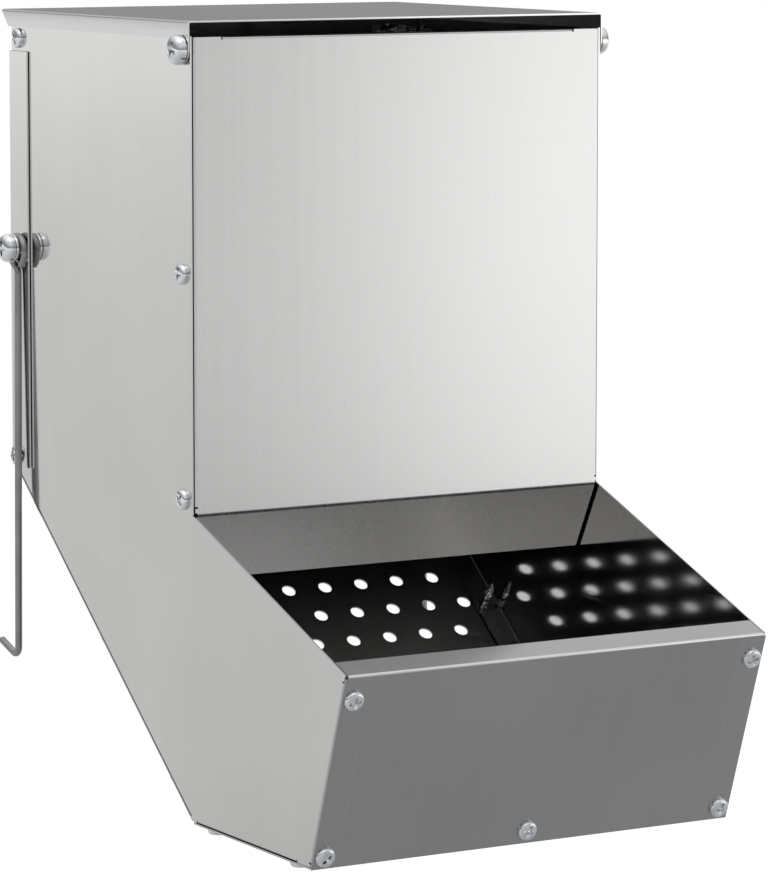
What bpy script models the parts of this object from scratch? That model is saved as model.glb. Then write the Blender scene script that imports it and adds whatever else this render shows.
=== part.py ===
# Rabbit feeder: a folded sheet-steel hopper with a slanted, perforated chute, a trough in
# front, a pivoting lid and two wire hooks. Lengths are in metres, +Z is up, -Y is the front,
# and left and right are those of someone who looks at the front.
# Heights and depths are measured from the trough's underside and from the front panel's
# face, and an empty then sets the world origin on that face, level with the wire hooks.

from math import atan2, cos, hypot, pi, radians, sin, sqrt

import bmesh
import bpy
from mathutils import Matrix, Vector

for leftover in list(bpy.data.objects):
    bpy.data.objects.remove(leftover, do_unlink=True)

# Sheet steel
sheet = 0.0006
fit_gap = 0.0003
flange_width = 0.010
fold_radius = 0.0008
fold_segments = 2
corner_relief = 0.003
notch_width = sheet
notch_depth = 0.00095
merge_distance = 0.00001

# Outline of the case, seen from the side
case_width = 0.162
case_depth = 0.1385
case_height = 0.2713
throat_height = 0.1054
lip_reach = 0.1035
lip_height = 0.0670
toe_reach = 0.0803
heel_setback = 0.0011
slope_top_height = 0.1072
hang_height = 0.1864
side_top_drop = 0.0052
side_front_setback = 0.0008

# Front panel
front_gap_height = 0.0055
front_flange_width = 0.012
baffle_setback = 0.0124
baffle_drop = 0.0237
baffle_side_gap = 0.0010
return_depth = 0.006
return_inset = 0.011

# Back panel
back_flange_width = 0.0147
back_shoulder_drop = 0.0147
back_tab_width = 0.0140
back_tab_relief = 0.0010

# Lid
lid_front_setback = 0.0006
lid_overhang = 0.0055
skirt_height = 0.0060
pivot_drop = 0.0098
ear_radius = 0.0050

# Trough front, floor and chute
lip_flange_width = 0.0093
toe_relief = 0.0015
floor_toe_relief = 0.0090
floor_flange_height = 0.010
chute_top_flange = 0.012
chute_foot_flange = 0.010
inner_flange_gap = 0.0020
chute_hole_radius = 0.0025
chute_hole_pitch = 0.0150
chute_row_pitch = 0.0133
chute_lowest_row = 0.0473
chute_rows = 5

# Small pan-head screws, and where they sit
screw_head_radius = 0.0035
screw_head_height = 0.0020
screw_shank_radius = 0.00175
screw_length = 0.0095
screw_point_length = 0.0040
edge_screw_inset = 0.0042
side_screw_setback = 0.0068
side_low_screw_rise = 0.0048
rear_top_screw_setback = 0.0071
rear_top_screw_drop = 0.0101
rear_low_screw_setback = 0.0051
rear_low_screw_rise = 0.0039
trough_low_screw_rise = 0.0046
trough_high_screw_drop = 0.0089
trough_middle_screw_rise = 0.0051
floor_rear_screw_inset = 0.0101
floor_front_screw_inset = 0.0143
chute_end_screw_inset = 0.0220

# Bolts, nuts and washers of the lid and the hooks
bolt_head_radius = 0.0050
bolt_head_height = 0.0037
bolt_shank_radius = 0.0025
bolt_chamfer = 0.0005
lid_bolt_length = 0.0080
hook_bolt_length = 0.0120
nut_flat_radius = 0.0040
nut_height = 0.0040
washer_radius = 0.0050
washer_thickness = 0.0010

# Wire hooks
wire_radius = 0.0013
eye_radius = 0.0055
crook_radius = 0.0030
hook_setback = 0.0096
hook_length = 0.1470
hook_flare = 0.0016
tip_bend_radius = 0.0030
tip_length = 0.0106
tip_rise_angle = radians(18)
hook_lean_angle = radians(0.5)
eye_end_angle = radians(240)

# How finely round shapes are cut
round_sides = 10
bolt_sides = 16
arc_steps = 5
eye_steps = 24
drill_overrun = 0.0012

# Sizes worked out from the ones above
wall_layer = sheet + fit_gap
half_width = case_width / 2
inner_half_width = half_width - wall_layer
wrap_half_width = half_width + wall_layer
side_top = case_height - side_top_drop
back_top = case_height - wall_layer
front_top = case_height - front_gap_height
shoulder_height = case_height - back_shoulder_drop
inner_flange_half_width = half_width - flange_width - inner_flange_gap
pivot_setback = lid_front_setback + ear_radius
pivot_height = case_height - pivot_drop
hook_y = case_depth - hook_setback


class Edge:
    """A straight side of the case's outline in the YZ plane, with the case on its left."""

    def __init__(self, start, end):
        self.start = Vector(start)
        self.along = (Vector(end) - self.start).normalized()
        self.length = (Vector(end) - self.start).length
        self.inward = Vector((-self.along.y, self.along.x))

    def at(self, distance, inset=0):
        return self.start + self.along * distance + self.inward * inset

    def point(self, x, distance, inset=0):
        y, z = self.at(distance, inset)
        return Vector((x, y, z))

    def outward(self):
        return Vector((0, -self.inward.x, -self.inward.y))


def crossing(first, first_inset, second, second_inset):
    """Where two sides of the outline meet once each is moved inward by its inset."""
    p, q = first.at(0, first_inset), second.at(0, second_inset)
    turn = first.along.x * second.along.y - first.along.y * second.along.x
    step = ((q - p).x * second.along.y - (q - p).y * second.along.x) / turn
    return p + first.along * step


throat = (0, throat_height)
lip = (-lip_reach, lip_height)
toe = (-toe_reach, 0)
heel = (heel_setback, 0)
slope_top = (case_depth, slope_top_height)
front_edge = Edge((0, case_height), throat)
mouth_edge = Edge(throat, lip)
trough_edge = Edge(lip, toe)
floor_edge = Edge(toe, heel)
slope_edge = Edge(heel, slope_top)
rear_edge = Edge(slope_top, (case_depth, case_height))


# An empty carries every piece and sets the world origin.
feeder = bpy.data.objects.new("feeder_frame", None)
feeder.location = (0, 0, -hang_height)
bpy.context.scene.collection.objects.link(feeder)


def metal(name, colour, roughness):
    material = bpy.data.materials.new(name)
    material.use_nodes = True
    shader = material.node_tree.nodes["Principled BSDF"]
    shader.inputs["Base Color"].default_value = (*colour, 1)
    shader.inputs["Metallic"].default_value = 1
    shader.inputs["Roughness"].default_value = roughness
    return material


side_steel = metal("side_panel_steel", (0.66, 0.66, 0.65), 0.30)
front_steel = metal("front_panel_steel", (0.78, 0.78, 0.77), 0.28)
back_steel = metal("back_panel_steel", (0.66, 0.66, 0.65), 0.30)
chute_steel = metal("chute_steel", (0.60, 0.60, 0.59), 0.20)
floor_steel = metal("floor_steel", (0.60, 0.60, 0.59), 0.25)
trough_steel = metal("trough_front_steel", (0.55, 0.55, 0.56), 0.28)
lid_steel = metal("lid_steel", (0.60, 0.60, 0.60), 0.28)
zinc = metal("screw_zinc", (0.74, 0.78, 0.82), 0.25)
bolt_zinc = metal("bolt_zinc", (0.70, 0.74, 0.78), 0.28)
nut_zinc = metal("nut_zinc", (0.66, 0.69, 0.72), 0.32)
wire_steel = metal("hook_wire_steel", (0.34, 0.34, 0.34), 0.40)


def place(name, data, material, location, rotation=None, helper=False):
    """Links an object under the frame's empty. A helper only cuts, and isn't a piece."""
    piece = bpy.data.objects.new(name, data)
    bpy.context.scene.collection.objects.link(piece)
    piece.parent = feeder
    piece.location = location
    if rotation is not None:
        piece.rotation_mode = "QUATERNION"
        piece.rotation_quaternion = rotation
    if helper:
        piece.hide_render = True
        piece.display_type = "WIRE"
    elif not data.materials:
        data.materials.append(material)
    return piece


def mesh_from(name, shape):
    bmesh.ops.recalc_face_normals(shape, faces=shape.faces)
    mesh = bpy.data.meshes.new(name)
    shape.to_mesh(mesh)
    shape.free()
    return mesh


def flange(edge, direction, width, start=0, end=0):
    """A plain flange on one edge of a web, stopping short of the edge's corners by the reliefs."""
    return edge, start, end, lambda first, last: [first + direction * width,
                                                  last + direction * width]


def folded_faces(web, outward, flanges):
    """The outer faces of a folded sheet: its web, seen from outside, and its flanges.

    Where a flange stops short of a corner, a relief notch parts it from the rest of the web.
    """
    corner_cut = set()
    for edge, start, end, _ in flanges:
        if 0 < start <= 2 * notch_width:
            corner_cut.add(edge)
        if 0 < end <= 2 * notch_width:
            corner_cut.add((edge + 1) % len(web))
    outline, faces = [], []
    for spot, corner in enumerate(web):
        if spot not in corner_cut:
            outline.append(corner)
        after = web[(spot + 1) % len(web)]
        along = (after - corner).normalized()
        deeper = outward.cross(along) * notch_depth
        for edge, start, end, rim in flanges:
            if edge != spot:
                continue
            first, last = corner + along * start, after - along * end
            if start > 2 * notch_width:
                outline.append(first - along * notch_width)
            if start > 0:
                back = start if start <= 2 * notch_width else notch_width
                outline += [first - along * back + deeper, first + deeper, first]
            if end > 0:
                ahead = end if end <= 2 * notch_width else notch_width
                outline += [last, last + deeper, last + along * ahead + deeper]
            if end > 2 * notch_width:
                outline.append(last + along * notch_width)
            faces.append([last, first] + rim(first, last))
    return [outline] + faces


def mirrored(faces):
    """The same faces on the other side of the case, still seen from outside."""
    return [[Vector((-point.x, point.y, point.z)) for point in reversed(face)] for face in faces]


def drill_mesh(name, holes, origin):
    """Cylinders through the sheet at each hole: its centre on the sheet, its axis and radius."""
    shape = bmesh.new()
    depth = 2 * (sheet + drill_overrun)
    for centre, axis, radius, sides in holes:
        turn = axis.to_track_quat("Z", "Y").to_matrix().to_4x4()
        spot = Matrix.Translation(centre - origin) @ turn
        bmesh.ops.create_cone(shape, cap_ends=True, segments=sides, radius1=radius,
                              radius2=radius, depth=depth, matrix=spot)
    return mesh_from(name, shape)


def sheet_piece(name, material, faces, holes, origin=Vector()):
    """A folded sheet: its outer faces with rounded folds, thickened inward, and its holes."""
    shape = bmesh.new()
    for face in faces:
        shape.faces.new([shape.verts.new(point - origin) for point in face])
    bmesh.ops.remove_doubles(shape, verts=shape.verts, dist=merge_distance)
    mesh = bpy.data.meshes.new(name)
    shape.to_mesh(mesh)
    shape.free()
    piece = place(name, mesh, material, origin)
    folds = piece.modifiers.new("folds", "BEVEL")
    folds.width = fold_radius
    folds.segments = fold_segments
    folds.limit_method = "ANGLE"
    folds.angle_limit = radians(20)
    folds.use_clamp_overlap = False
    thickness = piece.modifiers.new("thickness", "SOLIDIFY")
    thickness.thickness = sheet
    thickness.offset = -1
    thickness.use_even_offset = True
    drill = place(name + "_drill", drill_mesh(name + "_drill", holes, origin), None, origin,
                  helper=True)
    cut = piece.modifiers.new("holes", "BOOLEAN")
    cut.operation = "DIFFERENCE"
    cut.solver = "EXACT"
    cut.object = drill
    return piece


def screw_hole(centre, axis):
    return centre, axis, screw_shank_radius + fit_gap, round_sides


def bolt_hole(centre, axis):
    return centre, axis, bolt_shank_radius + fit_gap, bolt_sides


def arc_points(centre, radius, start, end, steps):
    """Points of an arc in the YZ plane, as (y, z), both ends included."""
    turns = [start + (end - start) * step / steps for step in range(steps + 1)]
    return [(centre[0] + radius * cos(turn), centre[1] + radius * sin(turn)) for turn in turns]


side_screw_heights = (throat_height + side_low_screw_rise, hang_height)


def side_seats(side):
    """Where the screws of a side panel sit, and the way their heads face."""
    outward = Vector((side, 0, 0))
    seats = {}
    for level, height in zip(("low", "high"), side_screw_heights):
        seats["side_screw_front_" + level] = Vector((side * half_width, side_screw_setback, height))
    seats["side_screw_rear_top"] = Vector((side * half_width, case_depth - rear_top_screw_setback,
                                           case_height - rear_top_screw_drop))
    seats["side_screw_rear_low"] = Vector((side * wrap_half_width,
                                           case_depth - rear_low_screw_setback,
                                           slope_top_height + rear_low_screw_rise))
    return seats, outward


def row_seats(prefix, edge, distances):
    """Where the screws along both ends of a plate sit, at distances along its edge."""
    x = half_width - edge_screw_inset
    return {f"{prefix}_{level}_{hand}": edge.point(side * x, distance)
            for side, hand in ((-1, "left"), (1, "right"))
            for level, distance in distances.items()}


trough_seats = row_seats("trough_screw", trough_edge, {
    "low": trough_edge.length - trough_low_screw_rise,
    "high": trough_high_screw_drop,
})
middle_distance = trough_edge.length - trough_middle_screw_rise
trough_seats["trough_screw_middle"] = trough_edge.point(0, middle_distance)
floor_seats = row_seats("floor_screw", floor_edge, {
    "front": floor_front_screw_inset,
    "rear": floor_edge.length - floor_rear_screw_inset,
})
chute_seats = row_seats("chute_screw", slope_edge, {
    "low": chute_end_screw_inset,
    "middle": slope_edge.length / 2,
    "high": slope_edge.length - chute_end_screw_inset,
})

lid_axis = Vector((0, pivot_setback, pivot_height))
hook_axis = Vector((0, hook_y, hang_height))


def at_x(x, point):
    return Vector((x, point.y, point.z))


def side_panel(side, hand):
    """A side wall with flanges along the trough's front, the floor and the slope."""
    outline = [
        Vector((side_front_setback, side_top)),
        crossing(front_edge, side_front_setback, mouth_edge, 0),
        crossing(mouth_edge, 0, trough_edge, wall_layer),
        crossing(trough_edge, wall_layer, floor_edge, wall_layer),
        crossing(floor_edge, wall_layer, slope_edge, wall_layer),
        crossing(slope_edge, wall_layer, rear_edge, wall_layer),
        Vector((case_depth - wall_layer, side_top)),
    ]
    web = [Vector((half_width, y, z)) for y, z in outline]
    inward = Vector((-1, 0, 0))
    flanges = [flange(2, inward, flange_width, corner_relief, toe_relief),
               flange(3, inward, flange_width, floor_toe_relief, corner_relief),
               flange(4, inward, flange_width, corner_relief, corner_relief + sheet)]
    faces = folded_faces(web, -inward, flanges)
    seats, outward = side_seats(side)
    x = side * half_width
    holes = [screw_hole(at_x(x, seat), outward) for seat in seats.values()]
    holes += [bolt_hole(at_x(x, lid_axis), outward), bolt_hole(at_x(x, hook_axis), outward)]
    for seat_list, edge in ((trough_seats, trough_edge), (floor_seats, floor_edge),
                            (chute_seats, slope_edge)):
        inset = edge.outward() * -wall_layer
        holes += [screw_hole(seat + inset, edge.outward())
                  for name, seat in seat_list.items() if name.endswith(hand)]
    if side < 0:
        faces = mirrored(faces)
    sheet_piece("side_panel_" + hand, side_steel, faces, holes)


def front_panel():
    """The front wall, with side flanges, a baffle folded in at its foot and a top return."""
    half = inner_half_width
    web = [Vector((-half, 0, throat_height)), Vector((half, 0, throat_height)),
           Vector((half, 0, front_top)), Vector((-half, 0, front_top))]
    foot_relief = half - (half_width - sheet - baffle_side_gap)
    baffle_width = hypot(baffle_setback, baffle_drop)
    baffle_fall = Vector((0, baffle_setback, -baffle_drop)).normalized()
    rearward = Vector((0, 1, 0))
    flanges = [flange(0, baffle_fall, baffle_width, foot_relief, foot_relief),
               flange(1, rearward, front_flange_width, corner_relief, 0),
               flange(2, rearward, return_depth, return_inset, return_inset),
               flange(3, rearward, front_flange_width, 0, corner_relief)]
    holes = []
    for side in (-1, 1):
        x, outward = side * half, Vector((side, 0, 0))
        holes += [screw_hole(Vector((x, side_screw_setback, height)), outward)
                  for height in side_screw_heights]
        holes.append(bolt_hole(at_x(x, lid_axis), outward))
    faces = folded_faces(web, -rearward, flanges)
    sheet_piece("front_panel", front_steel, faces, holes)


def back_panel():
    """The rear wall: its flanges lie outside the side panels, its top tabs inside them."""
    wide, narrow, rear = wrap_half_width, inner_half_width, case_depth
    outline = [(wide, slope_top_height), (-wide, slope_top_height), (-wide, shoulder_height),
               (-narrow, shoulder_height), (-narrow, back_top), (narrow, back_top),
               (narrow, shoulder_height), (wide, shoulder_height)]
    web = [Vector((x, rear, z)) for x, z in outline]
    forward = Vector((0, -1, 0))
    flanges = [flange(1, forward, back_flange_width), flange(7, forward, back_flange_width),
               flange(3, forward, back_tab_width, back_tab_relief, 0),
               flange(5, forward, back_tab_width, 0, back_tab_relief)]
    holes = []
    for side in (-1, 1):
        outward = Vector((side, 0, 0))
        seats = side_seats(side)[0]
        holes.append(screw_hole(at_x(side * narrow, seats["side_screw_rear_top"]), outward))
        holes.append(screw_hole(seats["side_screw_rear_low"], outward))
        holes.append(bolt_hole(at_x(side * wide, hook_axis), outward))
    faces = folded_faces(web, -forward, flanges)
    sheet_piece("back_panel", back_steel, faces, holes)


def chute_panel():
    """The perforated slope, with a flange up the back panel and a foot on the floor."""
    half = half_width - fit_gap
    outward = slope_edge.outward()
    top = (case_depth - wall_layer - heel_setback) / slope_edge.along.x
    low = wall_layer / slope_edge.along.y
    web = [slope_edge.point(half, low), slope_edge.point(-half, low),
           slope_edge.point(-half, top), slope_edge.point(half, top)]
    foot_relief = half - inner_flange_half_width
    top_relief = half - inner_half_width
    flanges = [flange(0, Vector((0, -1, 0)), chute_foot_flange, foot_relief, foot_relief),
               flange(2, Vector((0, 0, 1)), chute_top_flange, top_relief, top_relief)]
    holes = [screw_hole(seat, outward) for seat in chute_seats.values()]
    field_half = half_width - flange_width - chute_hole_radius
    for row in range(chute_rows):
        rise = chute_lowest_row + row * chute_row_pitch
        shift = row % 2 / 2
        reach = int(field_half / chute_hole_pitch + shift)
        for spot in range(-reach, reach + 1):
            x = (spot + shift) * chute_hole_pitch
            if x < field_half:
                holes.append((slope_edge.point(x, rise), outward, chute_hole_radius, round_sides))
    sheet_piece("chute_panel", chute_steel, folded_faces(web, outward, flanges), holes)


def trough_floor():
    """The trough's floor, with a flange up the inside of the trough's front."""
    half = half_width - fit_gap
    outward = floor_edge.outward()
    front_y = crossing(trough_edge, wall_layer, floor_edge, 0).x
    web = [Vector((half, front_y, 0)), Vector((-half, front_y, 0)),
           Vector((-half, heel_setback, 0)), Vector((half, heel_setback, 0))]
    relief = half - inner_flange_half_width
    rising = Vector((0, *-trough_edge.along))
    flanges = [flange(0, rising, floor_flange_height, relief, relief)]
    inset = trough_edge.outward() * -wall_layer
    holes = [screw_hole(seat, outward) for seat in floor_seats.values()]
    holes.append(screw_hole(trough_seats["trough_screw_middle"] + inset, trough_edge.outward()))
    sheet_piece("trough_floor", floor_steel, folded_faces(web, outward, flanges), holes)


def trough_front():
    """The trough's front plate, with a safe lip folded back into the mouth."""
    half = half_width
    outward = trough_edge.outward()
    rise = trough_edge.length
    web = [trough_edge.point(half, 0), trough_edge.point(-half, 0),
           trough_edge.point(-half, rise), trough_edge.point(half, rise)]
    relief = half - inner_half_width
    back = Vector((0, *-mouth_edge.along))
    flanges = [flange(0, back, lip_flange_width, relief, relief)]
    holes = [screw_hole(seat, outward) for seat in trough_seats.values()]
    sheet_piece("trough_front", trough_steel, folded_faces(web, outward, flanges), holes)


def lid_skirt_rim(first, last):
    """The skirt's rim below a side edge of the lid, from the end of the edge that is first."""
    skirt_foot = case_height - skirt_height
    ear = arc_points((pivot_setback, pivot_height), ear_radius, pi, 2 * pi, 2 * arc_steps)
    rim = ear + [(lid_front_setback + 2 * ear_radius, skirt_foot), (case_depth, skirt_foot)]
    points = [Vector((first.x, y, z)) for y, z in rim]
    return points if first.y < last.y else points[::-1]


def lid():
    """The lid lies over the case. Its skirts and front ears hang outside the side panels."""
    half, front, rear = wrap_half_width, lid_front_setback, case_depth + lid_overhang
    web = [Vector((-half, front, case_height)), Vector((half, front, case_height)),
           Vector((half, rear, case_height)), Vector((-half, rear, case_height))]
    flanges = [(1, 0, 0, lid_skirt_rim), (3, 0, 0, lid_skirt_rim)]
    holes = [bolt_hole(at_x(side * half, lid_axis), Vector((side, 0, 0))) for side in (-1, 1)]
    faces = folded_faces(web, Vector((0, 0, 1)), flanges)
    sheet_piece("lid", lid_steel, faces, holes, origin=lid_axis)


def turned_mesh(name, profile, sides):
    """A closed turned shape about Z from (radius, height) points that run from its foot up."""
    shape = bmesh.new()
    points = [shape.verts.new((radius, 0, height)) for radius, height in profile]
    for first, second in zip(points, points[1:]):
        shape.edges.new((first, second))
    bmesh.ops.spin(shape, geom=shape.verts[:] + shape.edges[:], cent=(0, 0, 0), axis=(0, 0, 1),
                   angle=2 * pi, steps=sides, use_merge=True, use_duplicate=False)
    bmesh.ops.remove_doubles(shape, verts=shape.verts, dist=merge_distance)
    mesh = mesh_from(name, shape)
    mesh.shade_smooth()
    mesh.set_sharp_from_angle(angle=radians(40))
    return mesh


def pan_head(radius, height):
    """The head's profile from its seat to its crown."""
    shares = ((1, 0), (1, 0.4), (0.8, 0.82), (0.45, 1), (0, 1))
    return [(radius * across, height * up) for across, up in shares]


def screw_mesh():
    shank = [(0, -screw_length), (screw_shank_radius, screw_point_length - screw_length),
             (screw_shank_radius, 0)]
    head = pan_head(screw_head_radius, screw_head_height)
    return turned_mesh("pan_head_screw", shank + head, round_sides)


def bolt_mesh(name, length):
    shank = [(0, -length), (bolt_shank_radius - bolt_chamfer, -length),
             (bolt_shank_radius, bolt_chamfer - length), (bolt_shank_radius, 0)]
    head = pan_head(bolt_head_radius, bolt_head_height)
    return turned_mesh(name, shank + head, bolt_sides)


def ring_mesh(name, outer_sides, outer_radius, height):
    """A nut or a washer that stands on Z = 0, bored for the bolt."""
    shape = bmesh.new()
    bore = bolt_shank_radius + fit_gap
    loops = []
    for sides, radius in ((outer_sides, outer_radius), (bolt_sides, bore)):
        for level in (0, height):
            ring = [shape.verts.new((radius * cos(2 * pi * step / sides),
                                     radius * sin(2 * pi * step / sides), level))
                    for step in range(sides)]
            loops.append([shape.edges.new((ring[step - 1], ring[step])) for step in range(sides)])
    outer_low, outer_high, bore_low, bore_high = loops
    for pair in ((outer_low, outer_high), (bore_low, bore_high)):
        bmesh.ops.bridge_loops(shape, edges=pair[0] + pair[1])
    for pair in ((outer_low, bore_low), (outer_high, bore_high)):
        bmesh.ops.triangle_fill(shape, edges=pair[0] + pair[1], use_beauty=True)
    return mesh_from(name, shape)


def seat_fastener(name, mesh, material, seat, outward):
    """Sets a fastener's head, or a nut's or washer's foot, just clear of its seat."""
    turn = outward.to_track_quat("Z", "Y")
    return place(name, mesh, material, seat + outward * fit_gap, turn)


def fasteners():
    screw = screw_mesh()
    for seats, outward in ((trough_seats, trough_edge.outward()),
                           (floor_seats, floor_edge.outward()),
                           (chute_seats, slope_edge.outward())):
        for name, seat in seats.items():
            seat_fastener(name, screw, zinc, seat, outward)
    lid_bolt = bolt_mesh("lid_bolt", lid_bolt_length)
    hook_bolt = bolt_mesh("hook_bolt", hook_bolt_length)
    nut = ring_mesh("nut", 6, nut_flat_radius / cos(pi / 6), nut_height)
    washer = ring_mesh("washer", bolt_sides, washer_radius, washer_thickness)
    eye_stack = fit_gap + 2 * wire_radius
    washer_stack = eye_stack + fit_gap + washer_thickness
    for side, hand in ((-1, "left"), (1, "right")):
        seats, outward = side_seats(side)
        for name, seat in seats.items():
            seat_fastener(f"{name}_{hand}", screw, zinc, seat, outward)
        lid_seat = at_x(side * wrap_half_width, lid_axis)
        seat_fastener("lid_pivot_bolt_" + hand, lid_bolt, bolt_zinc, lid_seat, outward)
        lid_nut_seat = at_x(side * (inner_half_width - sheet), lid_axis)
        seat_fastener("lid_pivot_nut_" + hand, nut, nut_zinc, lid_nut_seat, -outward)
        hook_seat = at_x(side * wrap_half_width, hook_axis)
        seat_fastener("hook_washer_" + hand, washer, bolt_zinc, hook_seat + outward * eye_stack,
                      outward)
        seat_fastener("hook_bolt_" + hand, hook_bolt, bolt_zinc,
                      hook_seat + outward * washer_stack, outward)
        hook_nut_seat = at_x(side * (half_width - sheet), hook_axis)
        seat_fastener("hook_nut_" + hand, nut, nut_zinc, hook_nut_seat, -outward)


def hook_route():
    """The hook's centre line from its pivot, hanging: (outward, y, z) points, end of eye first."""
    eye_drop = eye_radius - wire_radius - bolt_shank_radius - fit_gap
    reach = sqrt((eye_radius + crook_radius) ** 2 - crook_radius ** 2)
    start = eye_drop + reach
    crook = atan2(reach, crook_radius)
    eye = arc_points((0, -eye_drop), eye_radius, eye_end_angle, -crook, eye_steps)
    bend = arc_points((crook_radius, -start), crook_radius, pi - crook, pi, arc_steps)[1:]
    centre = (tip_bend_radius, tip_bend_radius - hook_length)
    foot = arc_points(centre, tip_bend_radius, pi, 3 * pi / 2 + tip_rise_angle, 2 * arc_steps)
    tip = (foot[-1][0] + tip_length * cos(tip_rise_angle),
           foot[-1][1] + tip_length * sin(tip_rise_angle))
    route = []
    for y, z in eye + bend + foot + [tip]:
        depth = min(max((-z - start) / (hook_length - start), 0), 1)
        lean_y = y * cos(hook_lean_angle) + z * sin(hook_lean_angle)
        lean_z = z * cos(hook_lean_angle) - y * sin(hook_lean_angle)
        route.append((hook_flare * depth, lean_y, lean_z))
    return route


def wire_hook(side, hand):
    curve = bpy.data.curves.new("wire_hook_" + hand, "CURVE")
    curve.dimensions = "3D"
    curve.bevel_depth = wire_radius
    curve.bevel_resolution = 2
    curve.use_fill_caps = True
    route = hook_route()
    spline = curve.splines.new("POLY")
    spline.points.add(len(route) - 1)
    for point, (outward, y, z) in zip(spline.points, route):
        point.co = (side * outward, y, z, 1)
    pivot = at_x(side * (wrap_half_width + fit_gap + wire_radius), hook_axis)
    place("wire_hook_" + hand, curve, wire_steel, pivot)


front_panel()
back_panel()
chute_panel()
trough_floor()
trough_front()
lid()
fasteners()
for side, hand in ((-1, "left"), (1, "right")):
    side_panel(side, hand)
    wire_hook(side, hand)
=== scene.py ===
from math import atan2, cos, pi, radians, sin, sqrt

import bmesh
import bpy
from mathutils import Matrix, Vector


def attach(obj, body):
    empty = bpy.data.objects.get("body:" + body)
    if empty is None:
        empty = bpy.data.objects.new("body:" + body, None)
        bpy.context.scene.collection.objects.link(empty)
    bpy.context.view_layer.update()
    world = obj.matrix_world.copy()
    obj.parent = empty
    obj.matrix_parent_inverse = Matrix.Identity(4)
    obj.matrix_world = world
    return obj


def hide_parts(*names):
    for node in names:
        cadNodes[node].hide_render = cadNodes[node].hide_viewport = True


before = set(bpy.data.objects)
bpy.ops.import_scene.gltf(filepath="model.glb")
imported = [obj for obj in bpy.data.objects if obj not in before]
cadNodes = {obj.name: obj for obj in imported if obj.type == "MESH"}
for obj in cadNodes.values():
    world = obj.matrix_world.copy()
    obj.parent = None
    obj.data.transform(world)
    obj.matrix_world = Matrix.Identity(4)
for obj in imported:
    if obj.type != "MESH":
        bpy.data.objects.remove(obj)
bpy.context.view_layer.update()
scene = bpy.context.scene
print("frame:", len(cadNodes), "nodes")

# the folded outline in the YZ plane, as (y, z)
outline = {
    "throat": (0.0, -0.0810),
    "lip": (-0.1035, -0.1194),
    "toe": (-0.0803, -0.1864),
    "heel": (0.0011, -0.1864),
    "slopeTop": (0.1385, -0.0792),
}


def edgeOutward(start, end):
    # outward normal of one straight side of the outline
    along = (Vector(outline[end]) - Vector(outline[start])).normalized()
    return Vector((0, along.y, -along.x))


troughOut = edgeOutward("lip", "toe")
slopeOut = edgeOutward("heel", "slopeTop")
floorOut = Vector((0, 0, -1))


def addNode(tree, kind, values=None, **settings):
    made = tree.nodes.new(kind)
    for setting, value in settings.items():
        setattr(made, setting, value)
    for socket, value in (values or {}).items():
        if isinstance(value, bpy.types.NodeSocket):
            tree.links.new(value, made.inputs[socket])
        else:
            made.inputs[socket].default_value = value
    return made


def calc(tree, operation, *terms):
    return addNode(tree, "ShaderNodeMath", dict(enumerate(terms)), operation=operation).outputs[0]


def ranged(tree, value, low, high, newLow, newHigh, kind="LINEAR"):
    made = addNode(tree, "ShaderNodeMapRange", {"Value": value, "From Min": low, "From Max": high,
                   "To Min": newLow, "To Max": newHigh}, interpolation_type=kind)
    return made.outputs["Result"]


# Finishes. grain is how tightly the pattern is packed along X, Y and Z: low along the brushing.
sideSteel = {"colour": (0.665, 0.66, 0.65), "roughness": 0.08, "grain": (240, 240, 10),
             "grainShade": 0.012, "grainDepth": 0.0000006, "cloudSize": 14, "cloudShade": 0.03,
             "scratches": 0.012}
frontSteel = {"colour": (0.655, 0.649, 0.642), "roughness": 0.25, "grain": (300, 300, 2.5),
              "grainShade": 0.035, "grainDepth": 0.0000022, "cloudSize": 9, "cloudShade": 0.02,
              "scratches": 0.01}
backSteel = dict(sideSteel, grain=(300, 300, 6))
chuteSteel = {"colour": (0.50, 0.495, 0.49), "roughness": 0.12, "grain": (260, 20, 20),
              "grainShade": 0.02, "grainDepth": 0.0000006, "cloudSize": 20, "cloudShade": 0.04,
              "scratches": 0.02}
floorSteel = dict(chuteSteel, grain=(260, 8, 8), roughness=0.14)
# painted shade: the trough front's steel has a darker colour than the other panels, for its face
# that looks down
shadedTroughSteel = {"colour": (0.41, 0.41, 0.412), "roughness": 0.20, "grain": (280, 7, 7),
               "grainShade": 0.015, "grainDepth": 0.0000008, "cloudSize": 8, "cloudShade": 0.05,
               # the last two keys paint highlights: a lighter line over the flanges and a
               # near-white line along the lip fold
               "scratches": 0.015, "paintedFlangeHighlight": 0.0717, "paintedFoldHighlight": outline["lip"]}
lidSteel = {"colour": (0.645, 0.64, 0.635), "roughness": 0.14, "grain": (320, 4, 320),
            "grainShade": 0.02, "grainDepth": 0.000001, "cloudSize": 10, "cloudShade": 0.03,
            "scratches": 0.015}
cutSteel = {"colour": (0.84, 0.84, 0.83), "roughness": 0.30, "grain": (2600, 2600, 2600),
            "grainShade": 0.08, "grainDepth": 0.000004, "cloudSize": 60, "cloudShade": 0.08,
            "scratches": 0.0}
screwZinc = {"colour": (0.80, 0.82, 0.85), "roughness": 0.07, "grain": (2400, 2400, 2400),
             "grainShade": 0.06, "grainDepth": 0.000007, "cloudSize": 420, "cloudShade": 0.12,
             "scratches": 0.06}
boltZinc = dict(screwZinc, colour=(0.78, 0.80, 0.83), roughness=0.08)
nutZinc = dict(screwZinc, colour=(0.68, 0.70, 0.73), roughness=0.25)
wireSteel = {"colour": (0.31, 0.31, 0.315), "roughness": 0.30, "grain": (2600, 2600, 40),
             "grainShade": 0.12, "grainDepth": 0.000005, "cloudSize": 90, "cloudShade": 0.12,
             "scratches": 0.08}

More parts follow.
